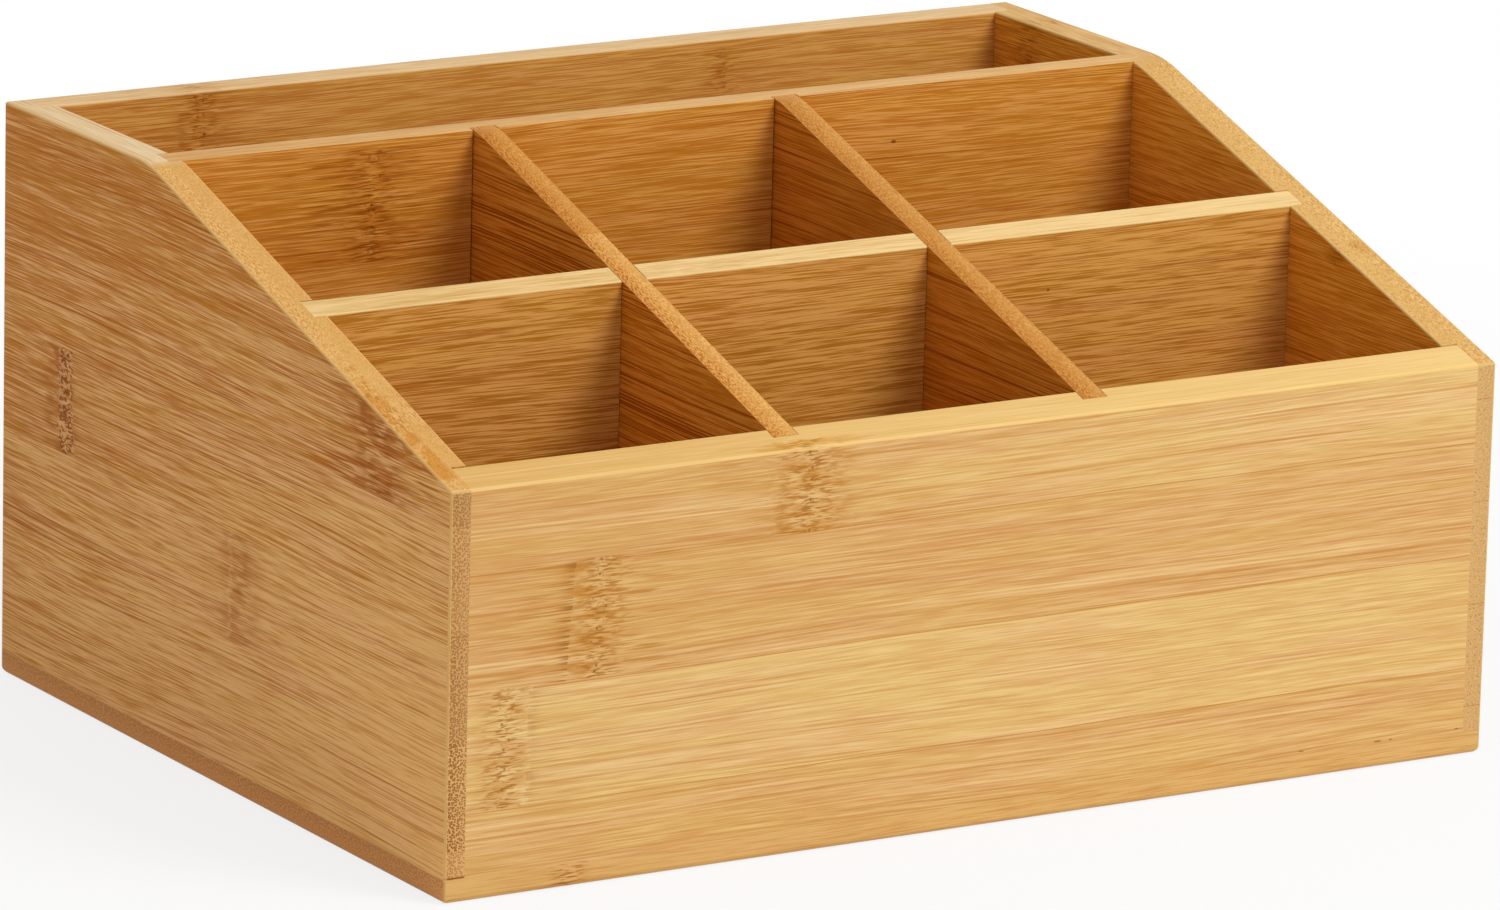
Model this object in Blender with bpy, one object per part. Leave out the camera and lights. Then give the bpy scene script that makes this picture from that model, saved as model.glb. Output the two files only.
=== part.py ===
"""Desk mail sorter: nine bamboo boards, glued round seven open compartments.

Metres, +Z up. The origin is on the desk under the middle of the sorter, the low
front faces -Y and the tall letter slot lies along the back.

The upright boards are made as plain boxes that reach into one another. Each is
let into its neighbour by a cutter that is its own box plus the glue gap, and one
saw cut then trims all the tops to the same line: flat at the back, round over
the crest, and sloping to the front.
"""
import math

import bmesh
import bpy
from mathutils import Matrix, Vector

# Overall sizes
WIDTH = 0.305
DEPTH = 0.235
BACK_HEIGHT = 0.152
FRONT_HEIGHT = 0.103

# Board thicknesses
BASE_THICKNESS = 0.006
SIDE_THICKNESS = 0.010
FRONT_THICKNESS = 0.010
BACK_THICKNESS = 0.010
DIVIDER_THICKNESS = 0.007

# Clear sizes of the compartments; the back slot and the right column take what is left
FRONT_ROW_DEPTH = 0.0705
SECOND_ROW_DEPTH = 0.069
LEFT_COLUMN_WIDTH = 0.084
MIDDLE_COLUMN_WIDTH = 0.083

# Joints
RABBET_DEPTH = 0.0046
HOUSING_DEPTH = 0.004
REAR_HOUSING_DEPTH = 0.002
GLUE_GAP = 0.0003

# Finish of the edges
CREST_RADIUS = 0.040
CREST_STEPS = 6
BASE_EDGE_RADIUS = 0.0015
BASE_EDGE_STEPS = 3

# How far the saw and the cutters run past the wood
OVERCUT = 0.020
SAW_ALLOWANCE = 0.010

WELD_DISTANCE = 0.00001

# Where the boards lie, worked out from the sizes above
FRONT_FACE = -DEPTH / 2
BACK_FACE = DEPTH / 2
SEAT_HEIGHT = BASE_THICKNESS + GLUE_GAP
SAWN_HEIGHT = BACK_HEIGHT + SAW_ALLOWANCE
SIDE_INNER_FACE = WIDTH / 2 - SIDE_THICKNESS
FRONT_INNER_FACE = FRONT_FACE + FRONT_THICKNESS
BACK_INNER_FACE = BACK_FACE - BACK_THICKNESS
MIDDLE_FACE = FRONT_INNER_FACE + FRONT_ROW_DEPTH
REAR_FACE = MIDDLE_FACE + DIVIDER_THICKNESS + SECOND_ROW_DEPTH
LEFT_DIVIDER_FACE = -SIDE_INNER_FACE + LEFT_COLUMN_WIDTH
RIGHT_DIVIDER_FACE = LEFT_DIVIDER_FACE + DIVIDER_THICKNESS + MIDDLE_COLUMN_WIDTH
RABBETED_END = SIDE_INNER_FACE + RABBET_DEPTH - GLUE_GAP
HOUSED_END = SIDE_INNER_FACE + HOUSING_DEPTH - GLUE_GAP

# The slope runs from the top of the front to the face of the rear divider
SLOPE = math.atan2(BACK_HEIGHT - FRONT_HEIGHT, REAR_FACE - FRONT_FACE)


def slope_height(y):
    """Height of the sloping tops at a distance along the depth."""
    return FRONT_HEIGHT + (y - FRONT_FACE) * math.tan(SLOPE)


def empty_scene():
    """Take away whatever the scene holds."""
    for thing in list(bpy.data.objects):
        bpy.data.objects.remove(thing, do_unlink=True)


def new_collection(name):
    collection = bpy.data.collections.new(name)
    bpy.context.scene.collection.children.link(collection)
    return collection


def bamboo(name, color, roughness):
    """A lacquered bamboo finish."""
    material = bpy.data.materials.new(name)
    material.use_nodes = True
    shader = material.node_tree.nodes["Principled BSDF"]
    shader.inputs["Base Color"].default_value = (*color, 1.0)
    shader.inputs["Roughness"].default_value = roughness
    shader.inputs["Metallic"].default_value = 0.0
    return material


def box_mesh(name, low, high):
    """A box between two corners, about its own middle."""
    size = Vector(high) - Vector(low)
    shape = bmesh.new()
    bmesh.ops.create_cube(shape, size=1.0, matrix=Matrix.Diagonal((*size, 1.0)))
    mesh = bpy.data.meshes.new(name)
    shape.to_mesh(mesh)
    shape.free()
    return mesh


def box_object(name, low, high, collection):
    """A box object placed at its middle."""
    thing = bpy.data.objects.new(name, box_mesh(name, low, high))
    thing.location = (Vector(low) + Vector(high)) / 2
    collection.objects.link(thing)
    return thing


def make_cutter(thing):
    """Show an object as a wire guide that isn't part of the model."""
    thing.hide_render = True
    thing.display_type = "WIRE"
    return thing


def cut(board, cutter):
    """Take the cutter's shape out of a board."""
    step = board.modifiers.new("cut by " + cutter.name, "BOOLEAN")
    step.operation = "DIFFERENCE"
    step.solver = "EXACT"
    step.object = cutter


def crest_arc():
    """Points of the round crest, from the slope up to the flat, as (y, z)."""
    centre_y = REAR_FACE + CREST_RADIUS * math.tan(SLOPE / 2)
    centre_z = BACK_HEIGHT - CREST_RADIUS
    points = []
    for step in range(CREST_STEPS + 1):
        turn = SLOPE * (1 - step / CREST_STEPS)
        points.append((centre_y - CREST_RADIUS * math.sin(turn),
                       centre_z + CREST_RADIUS * math.cos(turn)))
    return points


def saw_outline():
    """Side view of everything that the saw takes off, as (y, z) points."""
    start = FRONT_FACE - OVERCUT
    end = BACK_FACE + OVERCUT
    top = SAWN_HEIGHT + OVERCUT
    return [(start, slope_height(start)), *crest_arc(), (end, BACK_HEIGHT), (end, top), (start, top)]


def make_saw_cut(collection):
    """The cutter whose underside is the line of all the tops."""
    curve = bpy.data.curves.new("saw_outline", "CURVE")
    curve.dimensions = "2D"
    curve.fill_mode = "BOTH"
    curve.extrude = WIDTH / 2 + OVERCUT
    points = saw_outline()
    spline = curve.splines.new("POLY")
    spline.points.add(len(points) - 1)
    for point, (y, z) in zip(spline.points, points):
        point.co = (y, z, 0.0, 1.0)
    spline.use_cyclic_u = True
    outline = bpy.data.objects.new("saw_outline", curve)
    collection.objects.link(outline)

    mesh = bpy.data.meshes.new_from_object(outline.evaluated_get(bpy.context.evaluated_depsgraph_get()))
    shape = bmesh.new()
    shape.from_mesh(mesh)
    bmesh.ops.remove_doubles(shape, verts=shape.verts, dist=WELD_DISTANCE)
    bmesh.ops.recalc_face_normals(shape, faces=shape.faces)
    shape.to_mesh(mesh)
    shape.free()
    bpy.data.objects.remove(outline)

    saw = bpy.data.objects.new("saw_cut", mesh)
    upright = Matrix(((0, 0, 1), (1, 0, 0), (0, 1, 0)))
    saw.rotation_euler = upright.to_euler()
    collection.objects.link(saw)
    return make_cutter(saw)


def board_boxes():
    """Low and high corner of each upright board, before the saw cut."""
    front_end = FRONT_INNER_FACE - HOUSING_DEPTH + GLUE_GAP
    rear_end = REAR_FACE + REAR_HOUSING_DEPTH - GLUE_GAP
    return {
        "left_side_panel": ((-WIDTH / 2, FRONT_FACE), (-SIDE_INNER_FACE, BACK_FACE)),
        "right_side_panel": ((SIDE_INNER_FACE, FRONT_FACE), (WIDTH / 2, BACK_FACE)),
        "front_panel": ((-RABBETED_END, FRONT_FACE), (RABBETED_END, FRONT_INNER_FACE)),
        "back_panel": ((-RABBETED_END, BACK_INNER_FACE), (RABBETED_END, BACK_FACE)),
        "middle_cross_divider": ((-HOUSED_END, MIDDLE_FACE), (HOUSED_END, MIDDLE_FACE + DIVIDER_THICKNESS)),
        "rear_cross_divider": ((-HOUSED_END, REAR_FACE), (HOUSED_END, REAR_FACE + DIVIDER_THICKNESS)),
        "left_column_divider": ((LEFT_DIVIDER_FACE, front_end),
                                (LEFT_DIVIDER_FACE + DIVIDER_THICKNESS, rear_end)),
        "right_column_divider": ((RIGHT_DIVIDER_FACE, front_end),
                                 (RIGHT_DIVIDER_FACE + DIVIDER_THICKNESS, rear_end)),
    }


COLORS = {
    "base_board": (0.52, 0.29, 0.11),
    "left_side_panel": (0.50, 0.28, 0.11),
    "right_side_panel": (0.53, 0.30, 0.12),
    "front_panel": (0.66, 0.41, 0.17),
    "back_panel": (0.50, 0.26, 0.09),
    "middle_cross_divider": (0.58, 0.33, 0.12),
    "rear_cross_divider": (0.52, 0.28, 0.09),
    "left_column_divider": (0.44, 0.21, 0.06),
    "right_column_divider": (0.46, 0.22, 0.07),
}
ROUGHNESS = 0.42


def make_base(collection):
    """The base board lies under everything, with its lower edges rounded over."""
    low = Vector((-WIDTH / 2, FRONT_FACE, 0.0))
    high = Vector((WIDTH / 2, BACK_FACE, BASE_THICKNESS))
    base = box_object("base_board", low, high, collection)
    shape = bmesh.new()
    shape.from_mesh(base.data)
    lower_edges = [edge for edge in shape.edges if all(vertex.co.z < 0 for vertex in edge.verts)]
    bmesh.ops.bevel(shape, geom=lower_edges, affect="EDGES", offset=BASE_EDGE_RADIUS,
                    segments=BASE_EDGE_STEPS, profile=0.5, material=-1)
    shape.to_mesh(base.data)
    shape.free()
    return base


def make_boards(collection):
    """The upright boards as plain boxes, left tall for the saw."""
    boards = {}
    for name, (near, far) in board_boxes().items():
        boards[name] = box_object(name, (*near, SEAT_HEIGHT), (*far, SAWN_HEIGHT), collection)
    return boards


def make_slot(guest, low_z, high_z, collection):
    """Cutter for the slot that takes a board: its box, wider by the glue gap."""
    near, far = board_boxes()[guest]
    low = (near[0] - GLUE_GAP, near[1] - GLUE_GAP, low_z)
    high = (far[0] + GLUE_GAP, far[1] + GLUE_GAP, high_z)
    return make_cutter(box_object(guest + "_slot", low, high, collection))


def cut_housings(boards, cutters):
    """Let the cross boards into the sides, and the column dividers into front and rear."""
    over = SAWN_HEIGHT + OVERCUT
    for guest in ("front_panel", "back_panel", "middle_cross_divider", "rear_cross_divider"):
        slot = make_slot(guest, 0.0, over, cutters)
        cut(boards["left_side_panel"], slot)
        cut(boards["right_side_panel"], slot)
    for guest in ("left_column_divider", "right_column_divider"):
        slot = make_slot(guest, 0.0, over, cutters)
        cut(boards["front_panel"], slot)
        cut(boards["rear_cross_divider"], slot)


def cut_laps(boards, cutters):
    """Halve the middle divider over the column dividers, which show whole on top."""
    crossing_height = slope_height(MIDDLE_FACE + DIVIDER_THICKNESS / 2)
    lap_height = (SEAT_HEIGHT + crossing_height) / 2
    for guest in ("left_column_divider", "right_column_divider"):
        cut(boards["middle_cross_divider"],
            make_slot(guest, lap_height - GLUE_GAP / 2, SAWN_HEIGHT + OVERCUT, cutters))
    lower_slot = make_slot("middle_cross_divider", 0.0, lap_height + GLUE_GAP / 2, cutters)
    for host in ("left_column_divider", "right_column_divider"):
        cut(boards[host], lower_slot)


def main():
    empty_scene()
    parts = new_collection("mail_sorter")
    cutters = new_collection("cutters")
    boards = make_boards(parts)
    cut_housings(boards, cutters)
    cut_laps(boards, cutters)
    saw = make_saw_cut(cutters)
    for board in boards.values():
        cut(board, saw)
    boards["base_board"] = make_base(parts)
    for name, board in boards.items():
        board.data.materials.append(bamboo(name, COLORS[name], ROUGHNESS))


main()
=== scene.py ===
"""Looks of the bamboo mail sorter: nine glued boards of solid bamboo, a pale floor, soft light, a camera.

Lengths are metres, and marks in the wood are given in millimetres on the sorter itself. Each board
has three directions: along its fibres, across its staves, and through its thickness.
"""

import math

import bmesh
import bpy
from bpy.props import FloatProperty, FloatVectorProperty, PointerProperty
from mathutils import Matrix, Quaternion, Vector
from mathutils.bvhtree import BVHTree


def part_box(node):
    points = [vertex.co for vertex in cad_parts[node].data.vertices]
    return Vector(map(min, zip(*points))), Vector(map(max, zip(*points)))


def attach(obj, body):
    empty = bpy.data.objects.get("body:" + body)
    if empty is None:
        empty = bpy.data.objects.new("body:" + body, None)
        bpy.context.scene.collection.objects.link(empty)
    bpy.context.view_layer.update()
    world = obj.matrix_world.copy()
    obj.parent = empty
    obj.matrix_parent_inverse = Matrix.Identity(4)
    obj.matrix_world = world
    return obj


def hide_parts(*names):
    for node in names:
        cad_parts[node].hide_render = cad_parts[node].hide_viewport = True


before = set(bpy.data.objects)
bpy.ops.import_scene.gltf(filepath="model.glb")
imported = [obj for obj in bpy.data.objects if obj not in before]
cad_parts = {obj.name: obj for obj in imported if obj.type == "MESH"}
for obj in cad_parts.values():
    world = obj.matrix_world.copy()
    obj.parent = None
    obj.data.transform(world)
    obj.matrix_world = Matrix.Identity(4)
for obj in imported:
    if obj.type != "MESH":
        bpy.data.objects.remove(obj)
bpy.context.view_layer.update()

bl_info = {
    "name": "Bamboo Mail Sorter",
    "version": (1, 0, 0),
    "blender": (4, 5, 0),
    "location": "View3D > Sidebar > Mail Sorter",
    "description": "Dresses the boards of a bamboo mail sorter and sets up its studio",
    "category": "Object",
}

# Blender works in metres, and the marks in the wood are given in millimetres
MILLIMETRES = 1000.0

# Merging the CAD triangles into flat faces, and telling square edges, tops and undersides from the rest
WELD_DISTANCE = 0.00001
FLAT_ANGLE = math.radians(0.5)
SQUARE_ANGLE = math.radians(40.0)
UPWARD = 0.7
DOWNWARD = -0.9

# Two boards closer than this are glued together there; a face is tested this share inside its corners
TOUCH_DISTANCE = 0.00038
CORNER_INSET = 0.05

# How the floor turns white away from the sorter, between two distances from its middle
FADE_START = 0.15
FADE_END = 0.7
NEAR_WHITENESS = 0.80
WHITE = (1.0, 1.0, 1.0)

# The lacquer on the bamboo
LACQUER_IOR = 1.45
LACQUER_SHEEN = 0.05

# Seams between the staves, in millimetres: how they wander, and how far off they are darkest and gone
SEAM_WAVE_LENGTH = 60.0
SEAM_WAVE = 1.4
SEAM_FADE = (0.04, 0.20)

# Sizes in the grain, in millimetres: length and width of a cell where there are two
LINE_SPACING = 2.0
FINE_CELL = (19.0, 0.36)
STREAK_CELL = (70.0, 1.9)
BROAD_CELL = (170.0, 10.0)
PATCH_CELL = (60.0, 8.0)

# How far apart the pieces of the pattern can lie that the staves of a board are made from
STAVE_SHIFT = 90.0
STAVE_SLIDE = 700.0

# Sizes in the knuckles, in millimetres
DASH_WIDTH = 0.48
CURL_CELL = (1.9, 1.15)
CLOUD_CELL = (9.0, 3.0)
DOT_SPACING = 4.2
WANDER = 12.0
RIDGE_PLACE = 4.5
STREAK_REACH = 35.0

# A stave's change of tone for each millimetre along it is kept between nothing and one by this factor
DRIFT_SCALE = 100.0

# Which way the fibres, the staves and the thickness run: the axis numbers of each board
AXES = {
    "base_board": (0, 1, 2),
    "front_panel": (0, 2, 1),
    "back_panel": (0, 2, 1),
    "middle_cross_divider": (0, 2, 1),
    "rear_cross_divider": (0, 2, 1),
    "left_side_panel": (1, 2, 0),
    "right_side_panel": (1, 2, 0),
    "left_column_divider": (1, 2, 0),
    "right_column_divider": (1, 2, 0),
}

# Inputs of the bamboo pattern, with lengths in millimetres, and what changes from stave to stave: tones
# are counted from the lowest stave, drift is the change of tone in a millimetre along it, partly the
# stave's own tone and partly painted light that makes a board lighter towards the lamp's side, and ends
# give the dots on its end and the shade of its cuts. A rind of -1 puts the outer side of the stem inwards.
BAMBOO_COMMON = {
    "Bundle Spacing": 0.85, "Bundle Size": 0.29, "Fibre Slant": 0.2, "Contrast": 0.5,
    "Line Strength": 0.6, "Bundle Strength": 0.55, "Top Strength": 0.7,
}
BAMBOO_COLUMNS = {
    "Stave Width": 27.5, "Line Strength": 0.9, "Bundle Strength": 0.9, "Fibre Slant": 0.25,
    "Fine Contrast": 3.0, "Slope Strength": 1.6, "Contrast": 0.35, "Slope Lean": 0.2,
}
BAMBOO = {
    "front_panel": {
        "Seed": 3.0, "Stave Start": -7.25, "Stave Width": 29.75, "Seam Tilt": -0.005,
        "Light Tone": (0.83, 0.575, 0.237), "Deep Tone": (0.655, 0.34, 0.107),
        "Line Tone": (0.52, 0.21, 0.035), "Top Tone": (0.915, 0.625, 0.235), "Line Strength": 0.35,
        "Bundle Strength": 0.46, "Fine Contrast": 0.62, "Seam Strength": 0.75, "Contrast": 0.24,
        "Fibre Slant": 0.3, "Dash Length": 3.4, "Bundle Spacing": 1.05,
        "tones": (0.39, 0.58, 0.29, 0.40), "drift": (0.0, -0.0001, 0.0005, 0.0013),
    },
    "back_panel": {
        "Seed": 17.0, "Stave Start": 3.0, "Stave Width": 29.2, "Light Tone": (0.76, 0.40, 0.10),
        "Deep Tone": (0.60, 0.25, 0.04), "Line Tone": (0.38, 0.099, 0.006),
        "Top Tone": (0.865, 0.633, 0.345), "Fine Contrast": 2.4, "Outer Tint": (1.0, 1.09, 1.6),
        "Outer Calm": 0.45,
        "tones": (0.5, 0.7, 0.4, 0.8, 0.45, 0.5),
    },
    "rear_cross_divider": {
        "Seed": 29.0, "Stave Start": 3.5, "Stave Width": 29.1, "Light Tone": (0.78, 0.37, 0.078),
        "Deep Tone": (0.5841, 0.2112, 0.0195), "Line Tone": (0.3298, 0.0738, 0.0018),
        "Top Tone": (0.80, 0.52, 0.22), "Fine Contrast": 1.95, "Bundle Size": 0.26,
        "tones": (0.4, 0.6, 0.45, 0.5, 0.35, 0.4), "drift": 0.0008,
    },
    "middle_cross_divider": {
        "Seed": 41.0, "Stave Start": -4.0, "Stave Width": 28.5, "Light Tone": (0.7663, 0.3783, 0.0921),
        "Deep Tone": (0.495, 0.192, 0.0195), "Line Tone": (0.3492, 0.0902, 0.003),
        "Top Tone": (0.87, 0.64, 0.29), "Fine Contrast": 2.3, "Bundle Size": 0.25,
        "tones": (0.5, 0.4, 0.55, 0.68, 0.72, 0.62), "drift": 0.0013,
    },
    "left_side_panel": {
        "Seed": 53.0, "Stave Start": -14.23, "Stave Width": 27.03, "Light Tone": (0.885, 0.488, 0.178),
        "Deep Tone": (0.58, 0.20, 0.015), "Line Tone": (0.40, 0.10, 0.0005),
        "Top Tone": (0.8364, 0.5145, 0.176), "Line Strength": 0.9, "Bundle Strength": 0.7,
        "Fibre Slant": 0.26, "Fine Contrast": 1.05, "Contrast": 0.18, "Slope Strength": 1.1,
        # Its flat top is tinted paler and whiter: a painted sheen
        "Bundle Size": 0.27, "Flat Top Sheen Tint": (1.18, 1.64, 3.3), "Dash Length": 8.5,
        "tones": (0.84, 0.80, 0.73, 0.58, 0.48, 0.26, 0.33), "drift": -0.0017,
        "ends": ((0.5, 1.22), (0.85, 1.18), (0.65, 1.01), (0.55, 1.07), (0.6, 0.95), (0.5, 0.95),
                 (0.5, 0.95)),
    },
    # The right side panel's tones are set to its inner face in shade, so they carry painted shade; its
    # Outer Tint and Outer Calm take that off its outer face
    "right_side_panel": {
        "Seed": 67.0, "Stave Start": -14.23, "Stave Width": 27.03, "Light Tone": (0.8502, 0.38, 0.0525),
        "Deep Tone": (0.654, 0.2279, 0.0135), "Line Tone": (0.36, 0.0892, 0.002),
        "Top Tone": (0.765, 0.52, 0.205), "Line Strength": 0.7, "Bundle Strength": 0.6,
        "Fibre Slant": 0.25, "Fine Contrast": 2.6, "Dash Length": 8.5,
        "Contrast": 0.35, "Slope Tone": 0.57, "End Tone": (0.72, 0.465, 0.195),
        "Outer Tint": (1.0, 1.17, 2.4), "Outer Calm": 0.5,
        "tones": (0.6, 0.45, 0.7, 0.5, 0.4, 0.6, 0.5), "ends": ((0.2, 0.95),) * 7,
    },
    "left_column_divider": {
        **BAMBOO_COLUMNS, "Seed": 79.0, "Stave Start": -2.5, "Light Tone": (0.77, 0.31, 0.042),
        "Deep Tone": (0.5742, 0.1824, 0.0105), "Line Tone": (0.3104, 0.0615, 0.0012),
        "Top Tone": (0.665, 0.31, 0.07),
        "tones": (0.6, 0.5, 0.4, 0.55, 0.5, 0.6), "ends": (*((0.5, 1.09),) * 5, (0.5, 0.95)),
    },
    "right_column_divider": {
        **BAMBOO_COLUMNS, "Seed": 97.0, "Stave Start": -8.0, "Light Tone": (0.6887, 0.2604, 0.032),
        "Deep Tone": (0.5346, 0.1632, 0.0105), "Line Tone": (0.3007, 0.0615, 0.0015),
        "Top Tone": (0.67, 0.33, 0.08),
        "tones": (0.45, 0.6, 0.5, 0.4, 0.6, 0.55), "rind": -1.0,
    },
    "base_board": {
        "Seed": 113.0, "Stave Start": -131.5, "Stave Width": 28.0, "Light Tone": (0.735, 0.438, 0.161),
        "Deep Tone": (0.62, 0.30, 0.092), "Line Tone": (0.50, 0.20, 0.040),
        "Top Tone": (0.78, 0.47, 0.18), "Line Strength": 0.5, "Bundle Strength": 0.3, "Fibre Slant": 0.4,
        "Fine Contrast": 1.2, "End Tone": (0.80, 0.34, 0.10),
        "tones": (0.8, 0.5, 0.3, 0.45, 0.7, 0.4, 0.6, 0.35, 0.55, 0.5),
    },
}

# Knuckles of the bamboo: where the spine of dots is along the fibres and how it leans, the lowest and
# highest place across the staves, on which side the ragged edge is and how far off, how far the
# dashes spread, and how strong each mark is
KNUCKLES = {
    "front_panel": (
        {"Middle": -111.5, "Lean": 0.07, "Low": 52.5, "High": 82.0, "Side": 1.0, "Edge": 8.5,
         "Spread": 13.0, "Band": 0.3, "Ticks": 0.75, "Dashes": 1.0, "Spine": 1.0, "Streaking": 1.0,
         "Smudge": 1.1, "Smudge Place": -4.0},
        {"Middle": -52.0, "Low": 82.0, "High": 104.0, "Side": 1.0, "Edge": 5.0, "Spread": 18.0,
         "Band": 0.15, "Dashes": 1.0, "Spine": 1.0, "Streaking": 0.6, "Smudge": 1.0},
        {"Middle": -137.0, "Lean": 0.02, "Low": 22.5, "High": 52.0, "Side": -1.0, "Edge": 7.0,
         "Spread": 11.0, "Band": 0.7, "Ticks": 0.35, "Dashes": 1.0, "Spine": 0.9, "Streaking": 0.5,
         "Smudge": 0.7},
    ),
    "left_side_panel": (
        {"Middle": 81.5, "Lean": 0.06, "Low": 66.9, "High": 93.9, "Side": -1.0, "Edge": 3.0,
         "Spread": 13.0, "Worms": 0.9, "Width": 6.6, "Dashes": 0.4, "Streaking": 0.5, "Smudge": 1.5,
         "Smudge Place": -3.5},
        {"Middle": -11.5, "Low": 39.9, "High": 66.9, "Side": -1.0, "Edge": -4.0, "Spread": 16.0,
         "Dashes": 0.4, "Streaking": 0.3, "Smudge": 0.75, "Ridge": 0.7},
        {"Middle": -82.0, "Low": 93.9, "High": 120.9, "Side": -1.0, "Edge": 7.0, "Spread": 20.0,
         "Dashes": 0.9, "Ticks": 0.3, "Streaking": 1.0, "Smudge": 1.7, "Smudge Place": -3.0},
        {"Middle": -96.0, "Low": 105.0, "High": 121.5, "Side": -1.0, "Edge": 0.0, "Spread": 29.0,
         "Smudge": 3.0},
    ),
    "right_side_panel": (
        {"Middle": 90.0, "Low": 120.9, "High": 152.0, "Side": 1.0, "Edge": 4.0, "Spread": 10.0,
         "Dashes": 0.8, "Spine": 0.6, "Streaking": 0.6, "Smudge": 0.6},
        {"Middle": -60.0, "Low": 117.0, "High": 122.0, "Side": -1.0, "Edge": 3.0, "Spread": 8.0,
         "Dashes": 0.7, "Spine": 0.7, "Streaking": 0.3, "Smudge": 0.5},
    ),
    "rear_cross_divider": (
        {"Middle": -88.0, "Low": 120.0, "High": 149.1, "Side": 1.0, "Edge": 6.0, "Spread": 14.0,
         "Dashes": 0.9, "Spine": 1.0, "Streaking": 0.9, "Smudge": 0.9},
    ),
    "base_board": (
        {"Middle": -118.0, "Low": -131.5, "High": -103.5, "Side": 1.0, "Edge": 4.0, "Spread": 8.0,
         "Dashes": 1.3, "Streaking": 0.3, "Smudge": 0.2},
    ),
    "back_panel": (
        {"Middle": -101.0, "Low": 119.8, "High": 152.0, "Side": 1.0, "Edge": 5.0, "Spread": 12.0,
         "Dashes": 0.9, "Spine": 0.8, "Streaking": 0.6, "Smudge": 0.8},
        {"Middle": 56.0, "Low": 119.8, "High": 149.0, "Side": -1.0, "Edge": 5.0, "Spread": 10.0,
         "Dashes": 0.6, "Spine": 0.5, "Streaking": 0.4, "Smudge": 0.5},
    ),
}

# Small dark specks and open spots of a joint: place along and across, half length and half width
SPECKS = {
    "rear_cross_divider": ((68.2, 136.7, 1.0, 0.6),),
    "middle_cross_divider": ((68.4, 113.1, 0.6, 0.45),),
    "back_panel": ((-99.7, 140.5, 0.6, 0.5),),
    "left_side_panel": ((-117.5, 6.4, 0.8, 0.3),),
    "front_panel": ((97.0, 7.2, 1.2, 0.22), (120.5, 6.9, 1.5, 0.3), (124.5, 6.9, 0.7, 0.25),
                    (145.0, 7.2, 0.8, 0.25)),
}

# Dots on the end of a stave and shade of its cuts, where a board doesn't say
PLAIN_END = (0.5, 0.95)

# What the node groups hand to one another, with the value where there is nothing
GRAIN = {"Seam": 0.0, "Bundles": 0.0, "Gleams": 0.0, "Lines": 0.0, "Fine": 0.5, "Streaks": 0.5,
         "Broad": 0.5, "Patches": 0.5}
TEXTURES = {"Wander": 0.0, "Dash": 0.5, "Curl": 0.5, "Dot": 1.0, "Streak": 0.5, "Cloud": 0.5}
MARKS = {"Pale": 0.0, "Warm": 0.0, "Brown": 0.0, "Dark": 0.0}


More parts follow.
